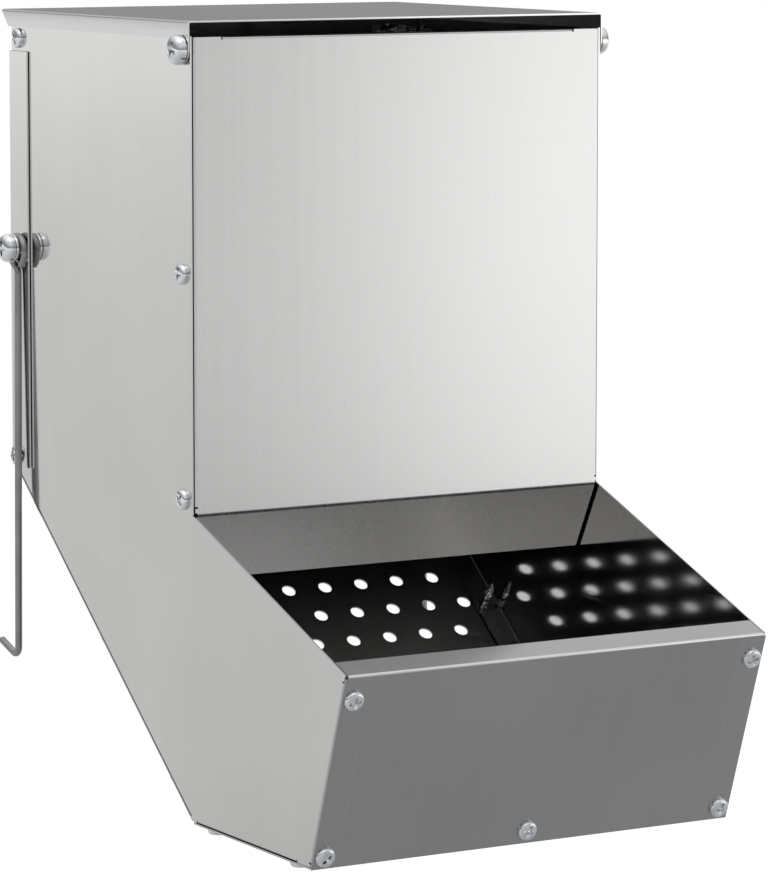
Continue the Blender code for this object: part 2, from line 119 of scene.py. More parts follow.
brushing = {"hairDetail": 5.0, "hairRoughness": 0.6, "cloudDetail": 3.0, "cloudTwist": 0.5,
            "noiseLow": 0.3, "noiseHigh": 0.7, "scratchTurn": (0.5, 0.3, 0.7),
            "scratchScale": (1400, 30, 700), "scratchFrom": 0.70, "scratchTo": 0.78,
            "scratchDull": 0.05, "scratchDent": 8, "toneReach": 0.3, "glossReach": 0.06,
            # the imprint keys set a painted highlight line over the side panels' flanges
            "cloudGloss": (-0.01, 0.02), "flangeHighlightWidth": 0.0006, "flangeHighlightLift": 0.05,
            # the fold keys set a painted highlight along the lip fold
            "foldHighlightNear": 0.0003, "foldHighlightFar": 0.0009, "foldHighlightColour": (0.95, 0.95, 0.95)}


def steelMaterial(name, look):
    # brushed metal: fine hair along the grain, soft clouds, a few slanted scratches, and where
    # asked, painted highlight lines
    material = bpy.data.materials.new(name)
    material.use_nodes = True
    tree = material.node_tree
    shader = tree.nodes["Principled BSDF"]
    shader.inputs["Metallic"].default_value = 1
    spot = addNode(tree, "ShaderNodeTexCoord").outputs["Object"]
    drawn = addNode(tree, "ShaderNodeMapping", {"Vector": spot, "Scale": look["grain"]})
    hair = addNode(tree, "ShaderNodeTexNoise", {"Vector": drawn.outputs[0], "Scale": 1.0,
                   "Detail": brushing["hairDetail"],
                   "Roughness": brushing["hairRoughness"]}).outputs["Fac"]
    cloud = addNode(tree, "ShaderNodeTexNoise", {"Vector": spot, "Scale": look["cloudSize"],
                    "Detail": brushing["cloudDetail"],
                    "Distortion": brushing["cloudTwist"]}).outputs["Fac"]
    # handling scratches: a thin stretched noise at a slant, kept only where it peaks
    slanted = addNode(tree, "ShaderNodeMapping", {"Vector": spot,
                      "Rotation": brushing["scratchTurn"], "Scale": brushing["scratchScale"]})
    streak = addNode(tree, "ShaderNodeTexNoise", {"Vector": slanted.outputs[0], "Scale": 1.0,
                     "Detail": 1.0}).outputs["Fac"]
    scratch = ranged(tree, streak, brushing["scratchFrom"], brushing["scratchTo"], 0.0, 1.0)
    low, high, reach = brushing["noiseLow"], brushing["noiseHigh"], brushing["toneReach"]
    tone = calc(tree, "ADD",
                ranged(tree, hair, low, high, -look["grainShade"], look["grainShade"]),
                ranged(tree, cloud, low, high, -look["cloudShade"], look["cloudShade"]))
    tone = calc(tree, "MULTIPLY_ADD", scratch, look["scratches"], tone)
    if "paintedFlangeHighlight" in look:
        # a painted highlight: a faint lighter line down each end of the plate, over the side
        # panels' flanges
        x = addNode(tree, "ShaderNodeSeparateXYZ", {0: spot}).outputs["X"]
        sideways = calc(tree, "ABSOLUTE", x)
        away = calc(tree, "ABSOLUTE", calc(tree, "SUBTRACT", sideways, look["paintedFlangeHighlight"]))
        tone = calc(tree, "ADD", tone, ranged(tree, away, 0.0, brushing["flangeHighlightWidth"],
                                              brushing["flangeHighlightLift"], 0.0))
    tone = ranged(tree, tone, -reach, reach, 0.0, 1.0)
    dark, light = [(*[part * share for part in look["colour"]], 1)
                   for share in (1 - reach, 1 + reach)]
    shade = addNode(tree, "ShaderNodeMix", {0: tone, 6: dark, 7: light}, data_type="RGBA")
    if "paintedFoldHighlight" in look:
        # a painted highlight: the fold along the lip is coloured near white
        flat = addNode(tree, "ShaderNodeVectorMath", {0: spot, 1: (0, 1, 1)},
                       operation="MULTIPLY").outputs[0]
        away = addNode(tree, "ShaderNodeVectorMath", {0: flat, 1: (0, *look["paintedFoldHighlight"])},
                       operation="DISTANCE").outputs["Value"]
        foldHighlightMask = ranged(tree, away, brushing["foldHighlightNear"], brushing["foldHighlightFar"], 1.0, 0.0)
        shade = addNode(tree, "ShaderNodeMix", {0: foldHighlightMask, 6: shade.outputs[2],
                        7: (*brushing["foldHighlightColour"], 1)}, data_type="RGBA")
    tree.links.new(shade.outputs[2], shader.inputs["Base Color"])
    glossy, dull = [look["roughness"] * (1 + side * brushing["glossReach"]) for side in (-1, 1)]
    haze = calc(tree, "ADD", ranged(tree, hair, low, high, glossy, dull),
                ranged(tree, cloud, low, high, *brushing["cloudGloss"]))
    tree.links.new(calc(tree, "MULTIPLY_ADD", scratch, brushing["scratchDull"], haze),
                   shader.inputs["Roughness"])
    height = calc(tree, "MULTIPLY_ADD", scratch, -look["scratches"] * brushing["scratchDent"],
                  hair)
    bump = addNode(tree, "ShaderNodeBump", {"Height": height, "Strength": 1.0,
                   "Distance": look["grainDepth"]})
    tree.links.new(bump.outputs[0], shader.inputs["Normal"])
    return material


cutEdge = steelMaterial("cut_edge_steel", cutSteel)


def linkPiece(name, mesh, body, slot, *stoodFor):
    piece = bpy.data.objects.new(name, mesh)
    scene.collection.objects.link(piece)
    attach(piece, body)
    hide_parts(*stoodFor)
    return piece


sheetRules = {"gauge": 0.00066, "sameSpot": 0.00001, "flatTurn": radians(0.4),
              "softTurn": radians(50), "cutTurn": radians(70), "areaWeight": 80}


def isCutFace(face):
    # a raw edge of the sheet is a face no wider than the sheet's gauge, square to its neighbours
    longest = max(face.edges, key=lambda edge: edge.calc_length())
    along = (longest.verts[1].co - longest.verts[0].co).normalized()
    across = face.normal.cross(along)
    spread = [vertex.co.dot(across) for vertex in face.verts]
    if max(spread) - min(spread) > sheetRules["gauge"]:
        return False
    return longest.is_manifold and longest.calc_face_angle() > sheetRules["cutTurn"]


def dissolveFlat(shape):
    bmesh.ops.dissolve_limit(shape, angle_limit=sheetRules["flatTurn"], verts=shape.verts,
                             edges=shape.edges)


def mergedCopy(node):
    # the CAD node's loose triangles, joined up again into plain faces
    shape = bmesh.new()
    shape.from_mesh(cadNodes[node].data)
    bmesh.ops.remove_doubles(shape, verts=shape.verts, dist=sheetRules["sameSpot"])
    dissolveFlat(shape)
    return shape


def softenFolds(shape):
    # folds shade smoothly, raw edges and holes stay crisp
    for face in shape.faces:
        face.smooth = True
        face.material_index = 1 if isCutFace(face) else 0
    for edge in shape.edges:
        edge.smooth = edge.is_manifold and edge.calc_face_angle() < sheetRules["softTurn"]


def finishSheet(name, shape, finish):
    mesh = bpy.data.meshes.new(name)
    softenFolds(shape)
    shape.to_mesh(mesh)
    shape.free()
    mesh.materials.clear()
    mesh.materials.append(finish)
    mesh.materials.append(cutEdge)
    holder = bpy.data.objects.new(name + "Holder", mesh)
    scene.collection.objects.link(holder)
    weigh = holder.modifiers.new("flatFaces", "WEIGHTED_NORMAL")
    weigh.mode = "FACE_AREA"
    weigh.weight = sheetRules["areaWeight"]
    weigh.keep_sharp = True
    bpy.context.view_layer.update()
    ready = holder.evaluated_get(bpy.context.evaluated_depsgraph_get())
    plain = bpy.data.meshes.new_from_object(ready, preserve_all_data_layers=True,
                                            depsgraph=bpy.context.evaluated_depsgraph_get())
    bpy.data.objects.remove(holder)
    plain.name = name
    return plain


sideFinish = steelMaterial("side_panel_steel", sideSteel)
sheets = {
    "side_panel_left": ("case", "side_panels", sideFinish),
    "side_panel_right": ("case", "side_panels", sideFinish),
    "front_panel": ("case", "front_panel", steelMaterial("front_panel_steel", frontSteel)),
    "back_panel": ("case", "back_panel", steelMaterial("back_panel_steel", backSteel)),
    "trough_floor": ("case", "trough_floor", steelMaterial("floor_steel", floorSteel)),
    "trough_front": ("case", "trough_front", steelMaterial("trough_front_steel", shadedTroughSteel)),
    "lid": ("lid", "lid", steelMaterial("lid_steel", lidSteel)),
}

for node, (body, slot, finish) in sheets.items():
    linkPiece(node + "_sheet", finishSheet(node + "Mesh", mergedCopy(node), finish), body, slot,
              node)
print("sheets:", len(sheets))

socketKinds = {float: "NodeSocketFloat", int: "NodeSocketInt", Vector: "NodeSocketVector",
               bpy.types.Material: "NodeSocketMaterial"}


def newShapeTree(name, sizes):
    tree = bpy.data.node_groups.new(name, "GeometryNodeTree")
    tree.interface.new_socket("Shape", in_out="INPUT", socket_type="NodeSocketGeometry")
    for label, value in sizes.items():
        socket = tree.interface.new_socket(label, in_out="INPUT",
                                           socket_type=socketKinds[type(value)])
        if type(value) is not bpy.types.Material:
            socket.default_value = value
    tree.interface.new_socket("Shape", in_out="OUTPUT", socket_type="NodeSocketGeometry")
    return tree, tree.nodes.new("NodeGroupInput").outputs


def closeShapeTree(tree, shape, material):
    whole = addNode(tree, "GeometryNodeRealizeInstances", {0: shape})
    painted = addNode(tree, "GeometryNodeSetMaterial", {0: whole.outputs[0],
                      "Material": material})
    tree.links.new(painted.outputs[0], tree.nodes.new("NodeGroupOutput").inputs[0])


def growMesh(name, base, tree, sizes):
    # runs a shape tree on a base mesh and keeps the result as a plain mesh
    holder = bpy.data.objects.new(name + "Holder", base)
    scene.collection.objects.link(holder)
    maker = holder.modifiers.new(tree.name, "NODES")
    maker.node_group = tree
    for item in tree.interface.items_tree:
        if item.in_out == "INPUT" and item.name in sizes:
            maker[item.identifier] = sizes[item.name]
    bpy.context.view_layer.update()
    ready = holder.evaluated_get(bpy.context.evaluated_depsgraph_get())
    mesh = bpy.data.meshes.new_from_object(ready)
    bpy.data.objects.remove(holder)
    mesh.name = name
    return mesh


def joined(tree, *shapes):
    join = tree.nodes.new("GeometryNodeJoinGeometry")
    for shape in shapes:
        tree.links.new(shape, join.inputs[0])
    return join.outputs[0]


def moved(tree, shape, height=0.0, turn=0.0):
    lift = addNode(tree, "ShaderNodeCombineXYZ", {"Z": height}).outputs[0]
    return addNode(tree, "GeometryNodeTransform", {"Geometry": shape, "Translation": lift,
                   "Rotation": (0, 0, turn)}).outputs[0]


def stoodOnSeats(tree, points, shape, seed):
    # one copy on every seat, its Z along the seat's outward direction, each turned by chance
    facing = addNode(tree, "GeometryNodeInputNamedAttribute", {"Name": "outward"},
                     data_type="FLOAT_VECTOR").outputs[0]
    aligned = addNode(tree, "FunctionNodeAlignRotationToVector", {"Vector": facing}, axis="Z")
    chance = addNode(tree, "FunctionNodeRandomValue", {2: 0.0, 3: pi, "Seed": seed},
                     data_type="FLOAT").outputs[1]
    spun = addNode(tree, "FunctionNodeAxisAngleToRotation", {"Axis": (0, 0, 1), "Angle": chance})
    turned = addNode(tree, "FunctionNodeRotateRotation", {"Rotation": aligned.outputs[0],
                     "Rotate By": spun.outputs[0]}, rotation_space="LOCAL")
    return addNode(tree, "GeometryNodeInstanceOnPoints", {"Points": points, "Instance": shape,
                   "Rotation": turned.outputs[0]}).outputs[0]


screwSizes = {"headRadius": 0.0035, "headHeight": 0.0020, "recessReach": 0.0023,
              "recessWidth": 0.0011, "recessDepth": 0.0014, "shankRadius": 0.00175,
              "shankLength": 0.0095, "pointLength": 0.0040, "tipRadius": 0.0001,
              "threadPitch": 0.0013, "threadHeight": 0.00038, "seed": 7}
lidBoltSizes = {"headRadius": 0.0050, "headHeight": 0.0037, "recessReach": 0.0029,
                "recessWidth": 0.0014, "recessDepth": 0.0022, "shankRadius": 0.0025,
                "shankLength": 0.0080, "pointLength": 0.0005, "tipRadius": 0.0018,
                "threadPitch": 0.0008, "threadHeight": 0.00034, "seed": 3}
hookBoltSizes = dict(lidBoltSizes, shankLength=0.0120, seed=5)
headShape = {"sides": 48, "rings": 9, "shoulder": 0.42, "crownPower": 2.5, "crownRoot": 0.42,
             "bladePinch": 0.55, "bladeThinning": 0.2}
shankShape = {"sides": 24, "threadSides": 3, "stepsPerTurn": 20}
softHeadTurn = radians(38)


def buildScrewTree():
    tree, given = newShapeTree("pan_head_screws", dict(screwSizes, finish=cutEdge))
    headRadius, headHeight = given["headRadius"], given["headHeight"]
    # the head: a disc whose top is drawn up into a pan
    shoulder = calc(tree, "MULTIPLY", headHeight, headShape["shoulder"])
    disc = addNode(tree, "GeometryNodeMeshCylinder", {"Vertices": headShape["sides"],
                   "Side Segments": 2, "Fill Segments": headShape["rings"],
                   "Radius": headRadius, "Depth": shoulder},
                   fill_type="TRIANGLE_FAN").outputs[0]
    spot = addNode(tree, "ShaderNodeSeparateXYZ", {0: tree.nodes.new(
        "GeometryNodeInputPosition").outputs[0]}).outputs
    flat = addNode(tree, "ShaderNodeCombineXYZ", {"X": spot["X"], "Y": spot["Y"]}).outputs[0]
    reach = addNode(tree, "ShaderNodeVectorMath", {0: flat}, operation="LENGTH").outputs["Value"]
    share = calc(tree, "MINIMUM", calc(tree, "DIVIDE", reach, headRadius), 1.0)
    drop = calc(tree, "SUBTRACT", 1.0, calc(tree, "POWER", share, headShape["crownPower"]))
    dome = calc(tree, "POWER", drop, headShape["crownRoot"])
    crown = calc(tree, "MULTIPLY", dome, calc(tree, "SUBTRACT", headHeight, shoulder))
    onTop = calc(tree, "GREATER_THAN", spot["Z"], 0.0)
    lift = calc(tree, "MULTIPLY_ADD", crown, onTop, calc(tree, "MULTIPLY", shoulder, 0.5))
    head = addNode(tree, "GeometryNodeSetPosition", {"Geometry": disc, "Offset": addNode(
        tree, "ShaderNodeCombineXYZ", {"Z": lift}).outputs[0]}).outputs[0]
    # the cross recess: two blades that narrow with depth
    deep, bladeReach = given["recessDepth"], given["recessReach"]
    size = addNode(tree, "ShaderNodeCombineXYZ", {"X": calc(tree, "MULTIPLY", bladeReach, 2.0),
                   "Y": given["recessWidth"], "Z": calc(tree, "MULTIPLY", deep, 2.0)}).outputs[0]
    block = addNode(tree, "GeometryNodeMeshCube", {"Size": size}).outputs[0]
    depthShare = calc(tree, "DIVIDE", spot["Z"], deep)
    pinch = calc(tree, "MULTIPLY_ADD", depthShare, headShape["bladePinch"], 1.0)
    slender = calc(tree, "MULTIPLY_ADD", depthShare, headShape["bladeThinning"], 1.0)
    narrowed = addNode(tree, "ShaderNodeCombineXYZ", {
        "X": calc(tree, "MULTIPLY", spot["X"], pinch),
        "Y": calc(tree, "MULTIPLY", spot["Y"], slender), "Z": spot["Z"]}).outputs[0]
    blade = addNode(tree, "GeometryNodeSetPosition", {"Geometry": block,
                    "Position": narrowed}).outputs[0]
    blades = [moved(tree, blade, headHeight, turn) for turn in (0, pi / 2)]
    cut = addNode(tree, "GeometryNodeMeshBoolean", {"Mesh 1": head}, operation="DIFFERENCE",
                  solver="EXACT")
    for one in blades:
        tree.links.new(one, cut.inputs["Mesh 2"])
    # the shank: a core with a rolled thread that runs on over the point
    core = calc(tree, "SUBTRACT", given["shankRadius"], given["threadHeight"])
    straight = calc(tree, "SUBTRACT", given["shankLength"], given["pointLength"])
    below = calc(tree, "MULTIPLY", given["shankLength"], -1.0)
    rod = addNode(tree, "GeometryNodeMeshCylinder", {"Vertices": shankShape["sides"],
                  "Radius": core, "Depth": straight}, fill_type="NGON").outputs[0]
    rod = moved(tree, rod, calc(tree, "MULTIPLY", straight, -0.5))
    point = addNode(tree, "GeometryNodeMeshCone", {"Vertices": shankShape["sides"],
                    "Radius Top": core, "Radius Bottom": given["tipRadius"],
                    "Depth": given["pointLength"]}, fill_type="NGON").outputs[0]
    point = moved(tree, point, below)
    ridge = addNode(tree, "GeometryNodeCurvePrimitiveCircle", {
        "Resolution": shankShape["threadSides"], "Radius": given["threadHeight"]},
        mode="RADIUS").outputs[0]
    threads = []
    for length, first, height in ((straight, core, calc(tree, "MULTIPLY", straight, -1.0)),
                                  (given["pointLength"], given["tipRadius"], below)):
        helix = addNode(tree, "GeometryNodeCurveSpiral", {
            "Resolution": shankShape["stepsPerTurn"], "Start Radius": first, "End Radius": core,
            "Height": length, "Rotations": calc(tree, "DIVIDE", length, given["threadPitch"])})
        wound = addNode(tree, "GeometryNodeCurveToMesh", {0: helix.outputs[0], 1: ridge,
                        "Fill Caps": True}).outputs[0]
        threads.append(moved(tree, wound, height))
    screw = joined(tree, cut.outputs[0], rod, point, *threads)
    closeShapeTree(tree, stoodOnSeats(tree, given["Shape"], screw, given["seed"]),
                   given["finish"])
    return tree


nutSizes = {"cornerRadius": 0.0040 / cos(pi / 6), "height": 0.0040, "boreRadius": 0.0022,
            "chamfer": 0.12, "sides": 6, "seed": 11}
washerSizes = {"cornerRadius": 0.0050, "height": 0.0010, "boreRadius": 0.0028,
               "chamfer": 0.03, "sides": 64, "seed": 2}
barrelShape = {"sides": 64, "bands": 8, "overhang": 1.02, "plainShare": 0.34, "easing": 6.0,
               "boreSides": 32}


def buildRingTree():
    tree, given = newShapeTree("nuts_and_washers", dict(nutSizes, finish=cutEdge))
    height = given["height"]
    block = addNode(tree, "GeometryNodeMeshCylinder", {"Vertices": given["sides"],
                    "Radius": given["cornerRadius"], "Depth": height}, fill_type="NGON")
    # a barrel with drawn-in ends takes the corners off
    tall = calc(tree, "MULTIPLY", height, barrelShape["overhang"])
    barrel = addNode(tree, "GeometryNodeMeshCylinder", {"Vertices": barrelShape["sides"],
                     "Side Segments": barrelShape["bands"], "Radius": given["cornerRadius"],
                     "Depth": tall}, fill_type="NGON")
    place = tree.nodes.new("GeometryNodeInputPosition").outputs[0]
    spot = addNode(tree, "ShaderNodeSeparateXYZ", {0: place}).outputs
    away = calc(tree, "DIVIDE", calc(tree, "ABSOLUTE", spot["Z"]), height)
    over = calc(tree, "MAXIMUM", calc(tree, "SUBTRACT", away, barrelShape["plainShare"]), 0.0)
    drawnIn = calc(tree, "MULTIPLY", calc(tree, "MULTIPLY", over, barrelShape["easing"]),
                   given["chamfer"])
    shrink = calc(tree, "SUBTRACT", 1.0, drawnIn)
    eased = addNode(tree, "ShaderNodeCombineXYZ", {"X": calc(tree, "MULTIPLY", spot["X"], shrink),
                    "Y": calc(tree, "MULTIPLY", spot["Y"], shrink), "Z": spot["Z"]}).outputs[0]
    barrel = addNode(tree, "GeometryNodeSetPosition", {"Geometry": barrel.outputs[0],
                     "Position": eased}).outputs[0]
    body = addNode(tree, "GeometryNodeMeshBoolean", operation="INTERSECT", solver="EXACT")
    tree.links.new(block.outputs[0], body.inputs["Mesh 2"])
    tree.links.new(barrel, body.inputs["Mesh 2"])
    drill = addNode(tree, "GeometryNodeMeshCylinder", {"Vertices": barrelShape["boreSides"],
                    "Radius": given["boreRadius"], "Depth": calc(tree, "MULTIPLY", height, 2.0)},
                    fill_type="NGON")
    bored = addNode(tree, "GeometryNodeMeshBoolean", {"Mesh 1": body.outputs[0],
                    "Mesh 2": drill.outputs[0]}, operation="DIFFERENCE", solver="EXACT")
    ring = moved(tree, bored.outputs[0], calc(tree, "MULTIPLY", height, 0.5))
    closeShapeTree(tree, stoodOnSeats(tree, given["Shape"], ring, given["seed"]),
                   given["finish"])
    return tree


def seatOf(node, outward, height):
    # where a fastener's head starts: on the CAD solid's axis, one head's height below its crown
    across = outward.cross(Vector((1, 0, 0)) if abs(outward.x) < 0.5 else Vector((0, 1, 0)))
    second = outward.cross(across)
    points = [vertex.co for vertex in cadNodes[node].data.vertices]
    middle = Vector()
    for axis in (across, second):
        spread = [point.dot(axis) for point in points]
        middle += axis * (min(spread) + max(spread)) / 2
    return middle + outward * (max(point.dot(outward) for point in points) - height)


def seatMesh(name, seats):
    mesh = bpy.data.meshes.new(name)
    mesh.from_pydata([seat for seat, outward in seats], [], [])
    outwards = mesh.attributes.new("outward", "FLOAT_VECTOR", "POINT")
    for row, (seat, outward) in zip(outwards.data, seats):
        row.vector = outward
    return mesh


def fastenerPiece(name, tree, sizes, material, slot, facing, settle=0.0):
    # facing gives each CAD node and the way it looks; settle closes the CAD's fitting gap
    height = sizes.get("headHeight", sizes.get("height"))
    seats = [(seatOf(node, outward, height) - outward * settle, outward)
             for node, outward in facing.items()]
    mesh = growMesh(name + "Mesh", seatMesh(name + "Seats", seats), tree,
                    dict(sizes, finish=material))
    mesh.shade_smooth()
    mesh.set_sharp_from_angle(angle=softHeadTurn)
    return linkPiece(name, mesh, "case", slot, *facing)


screwTree, ringTree = buildScrewTree(), buildRingTree()
zincOfScrews = steelMaterial("screw_zinc", screwZinc)
zincOfBolts = steelMaterial("bolt_zinc", boltZinc)
zincOfNuts = steelMaterial("nut_zinc", nutZinc)
hands = {"left": Vector((-1, 0, 0)), "right": Vector((1, 0, 0))}

screwGroups = {
    "side_screws": {f"side_screw_{spot}_{hand}": outward for hand, outward in hands.items()
                    for spot in ("front_low", "front_high", "rear_low", "rear_top")},
    "trough_screws": {f"trough_screw_{spot}": troughOut for spot in
                      ("low_left", "low_right", "high_left", "high_right", "middle")},
    "floor_screws": {f"floor_screw_{spot}_{hand}": floorOut for hand in hands
                     for spot in ("front", "rear")},
    "chute_screws": {f"chute_screw_{spot}_{hand}": slopeOut for hand in hands
                     for spot in ("low", "middle", "high")},
}
screwSettle = 0.00027
for name, facing in screwGroups.items():
    fastenerPiece(name, screwTree, screwSizes, zincOfScrews, "screws", facing, screwSettle)
fastenerPiece("lid_pivot_bolts", screwTree, lidBoltSizes, zincOfBolts, "bolts",
              {"lid_pivot_bolt_" + hand: outward for hand, outward in hands.items()})
fastenerPiece("hook_bolts", screwTree, hookBoltSizes, zincOfBolts, "bolts",
              {"hook_bolt_" + hand: outward for hand, outward in hands.items()})
fastenerPiece("hook_washers", ringTree, washerSizes, zincOfBolts, "bolts",
              {"hook_washer_" + hand: outward for hand, outward in hands.items()})
fastenerPiece("nuts", ringTree, nutSizes, zincOfNuts, "nuts",
              {f"{kind}_nut_{hand}": -outward for hand, outward in hands.items()
               for kind in ("lid_pivot", "hook")})
print("fasteners: screws, bolts, washers and nuts")

chuteSizes = {"holeRadius": 0.00253, "holePitch": 0.0150, "rowPitch": 0.0133,
              "firstRow": 0.0473, "rows": 5, "columns": 11, "fieldHalf": 0.0685,
              "punchSides": 40, "punchDepth": 0.004}


def buildPerforationTree():
    tree, given = newShapeTree("perforations", dict(chuteSizes, start=Vector(), uphill=Vector(),
                                                    outward=Vector(), finish=cutEdge))
    columns = given["columns"]
    count = calc(tree, "MULTIPLY", given["rows"], columns)
    index = tree.nodes.new("GeometryNodeInputIndex").outputs[0]
    row = calc(tree, "FLOOR", calc(tree, "DIVIDE", calc(tree, "ADD", index, 0.5), columns))
    column = calc(tree, "SUBTRACT", index, calc(tree, "MULTIPLY", row, columns))
    # every other row is shifted by half a pitch
    shift = calc(tree, "MULTIPLY", calc(tree, "MODULO", row, 2.0), 0.5)
    middle = calc(tree, "MULTIPLY", calc(tree, "SUBTRACT", columns, 1.0), 0.5)
    step = calc(tree, "ADD", calc(tree, "SUBTRACT", column, middle), shift)
    x = calc(tree, "MULTIPLY", step, given["holePitch"])
    rise = calc(tree, "MULTIPLY_ADD", row, given["rowPitch"], given["firstRow"])
    up = addNode(tree, "ShaderNodeVectorMath", {0: given["uphill"], "Scale": rise},
                 operation="SCALE").outputs[0]
    along = addNode(tree, "ShaderNodeCombineXYZ", {"X": x}).outputs[0]
    place = addNode(tree, "ShaderNodeVectorMath", {0: up, 1: along}, operation="ADD").outputs[0]
    place = addNode(tree, "ShaderNodeVectorMath", {0: place, 1: given["start"]},
                    operation="ADD").outputs[0]
    points = addNode(tree, "GeometryNodePoints", {"Count": count, "Position": place}).outputs[0]
    sideways = addNode(tree, "ShaderNodeSeparateXYZ", {0: tree.nodes.new(
        "GeometryNodeInputPosition").outputs[0]}).outputs["X"]
    outside = calc(tree, "GREATER_THAN", calc(tree, "ABSOLUTE", sideways), given["fieldHalf"])
    kept = addNode(tree, "GeometryNodeDeleteGeometry", {"Geometry": points,
                   "Selection": outside}, domain="POINT").outputs[0]
    punch = addNode(tree, "GeometryNodeMeshCylinder", {"Vertices": given["punchSides"],
                    "Radius": given["holeRadius"], "Depth": given["punchDepth"]},
                    fill_type="NGON").outputs[0]
    aligned = addNode(tree, "FunctionNodeAlignRotationToVector", {"Vector": given["outward"]},
                      axis="Z").outputs[0]
    punches = addNode(tree, "GeometryNodeInstanceOnPoints", {"Points": kept, "Instance": punch,
                      "Rotation": aligned}).outputs[0]
    whole = addNode(tree, "GeometryNodeRealizeInstances", {0: punches}).outputs[0]
    punched = addNode(tree, "GeometryNodeMeshBoolean", {"Mesh 1": given["Shape"],
                      "Mesh 2": whole}, operation="DIFFERENCE", solver="EXACT").outputs[0]
    closeShapeTree(tree, punched, given["finish"])
    return tree


def makeChute():
    base = bpy.data.meshes.new("chuteBase")
    shape = mergedCopy("chute_panel")
    shape.to_mesh(base)
    shape.free()
    heel, slopeTop = Vector(outline["heel"]), Vector(outline["slopeTop"])
    up = (slopeTop - heel).normalized()
    finish = steelMaterial("chute_steel", chuteSteel)
    sizes = dict(chuteSizes, start=Vector((0, *heel)), uphill=Vector((0, *up)),
                 outward=slopeOut, finish=finish)
    punched = growMesh("chutePunched", base, buildPerforationTree(), sizes)
    shape = bmesh.new()
    shape.from_mesh(punched)
    dissolveFlat(shape)
    mesh = finishSheet("chuteMesh", shape, finish)
    return linkPiece("chute_panel_sheet", mesh, "case", "chute", "chute_panel")


makeChute()
print("chute: punched")

hookSizes = {"wireRadius": 0.0013, "eyeRadius": 0.0055, "crookRadius": 0.0030,
             "length": 0.1470, "flare": 0.0016, "tipBendRadius": 0.0030, "tipLength": 0.0106,
             "tipRise": radians(18), "lean": radians(0.5), "eyeEnd": radians(240),
             "boltRadius": 0.0025, "fitGap": 0.0003, "pivotX": 0.0835, "pivotY": 0.1289,
             "eyeSteps": 64, "crookSteps": 14, "legSteps": 24, "tipBendSteps": 16, "sides": 20,
             "endEase": 0.0003, "endTurn": radians(60), "softTurn": radians(50)}


def arcPoints(centre, radius, start, end, steps):
    turns = [start + (end - start) * step / steps for step in range(steps + 1)]
    return [(centre[0] + radius * cos(turn), centre[1] + radius * sin(turn)) for turn in turns]


def hookRoute(side, sizes):
    # the wire's centre line: the eye on the bolt, a crook, the long leg and the bent tip
    eyeDrop = sizes["eyeRadius"] - sizes["wireRadius"] - sizes["boltRadius"] - sizes["fitGap"]
    reach = sqrt((sizes["eyeRadius"] + sizes["crookRadius"]) ** 2 - sizes["crookRadius"] ** 2)
    start = eyeDrop + reach
    crook = atan2(reach, sizes["crookRadius"])
    bendCentre = (sizes["tipBendRadius"], sizes["tipBendRadius"] - sizes["length"])
    legLength = sizes["length"] - sizes["tipBendRadius"] - start
    route = arcPoints((0, -eyeDrop), sizes["eyeRadius"], sizes["eyeEnd"], -crook,
                      sizes["eyeSteps"])
    route += arcPoints((sizes["crookRadius"], -start), sizes["crookRadius"], pi - crook, pi,
                       sizes["crookSteps"])[1:]
    route += [(0, -start - legLength * step / sizes["legSteps"])
              for step in range(1, sizes["legSteps"])]
    route += arcPoints(bendCentre, sizes["tipBendRadius"], pi, 3 * pi / 2 + sizes["tipRise"],
                       sizes["tipBendSteps"])
    last = route[-1]
    route.append((last[0] + sizes["tipLength"] * cos(sizes["tipRise"]),
                  last[1] + sizes["tipLength"] * sin(sizes["tipRise"])))
    points = []
    for y, z in route:
        depth = min(max((-z - start) / (sizes["length"] - start), 0), 1)
        points.append((side * (sizes["pivotX"] + sizes["flare"] * depth),
                       sizes["pivotY"] + y * cos(sizes["lean"]) + z * sin(sizes["lean"]),
                       z * cos(sizes["lean"]) - y * sin(sizes["lean"])))
    return points


def buildWireTree():
    tree, given = newShapeTree("bent_wire", {"wireRadius": hookSizes["wireRadius"],
                                             "sides": hookSizes["sides"], "finish": cutEdge})
    path = addNode(tree, "GeometryNodeMeshToCurve", {0: given["Shape"]}).outputs[0]
    section = addNode(tree, "GeometryNodeCurvePrimitiveCircle", {"Resolution": given["sides"],
                      "Radius": given["wireRadius"]}, mode="RADIUS").outputs[0]
    drawn = addNode(tree, "GeometryNodeCurveToMesh", {0: path, 1: section, "Fill Caps": True})
    closeShapeTree(tree, drawn.outputs[0], given["finish"])
    return tree


def makeHooks():
    tree = buildWireTree()
    finish = steelMaterial("hook_wire_steel", wireSteel)
    for hand, side in (("left", -1), ("right", 1)):
        points = hookRoute(side, hookSizes)
        base = bpy.data.meshes.new("hookPath")
        base.from_pydata(points, [(n, n + 1) for n in range(len(points) - 1)], [])
        mesh = growMesh("hook" + hand, base, tree, dict(hookSizes, finish=finish))
        shape = bmesh.new()
        shape.from_mesh(mesh)
        # the cropped ends are eased a little
        ends = [edge for edge in shape.edges if edge.calc_face_angle() > hookSizes["endTurn"]]
        bmesh.ops.bevel(shape, geom=ends, offset=hookSizes["endEase"], segments=2,
                        affect="EDGES", profile=0.5)
        bmesh.ops.recalc_face_normals(shape, faces=shape.faces)
        shape.to_mesh(mesh)
        shape.free()
        mesh.shade_smooth()
        mesh.set_sharp_from_angle(angle=hookSizes["softTurn"])
        linkPiece("wire_hook_" + hand + "_bent", mesh, "hook_" + hand, "hook_wire",
                  "wire_hook_" + hand)


makeHooks()
print("hooks: bent")

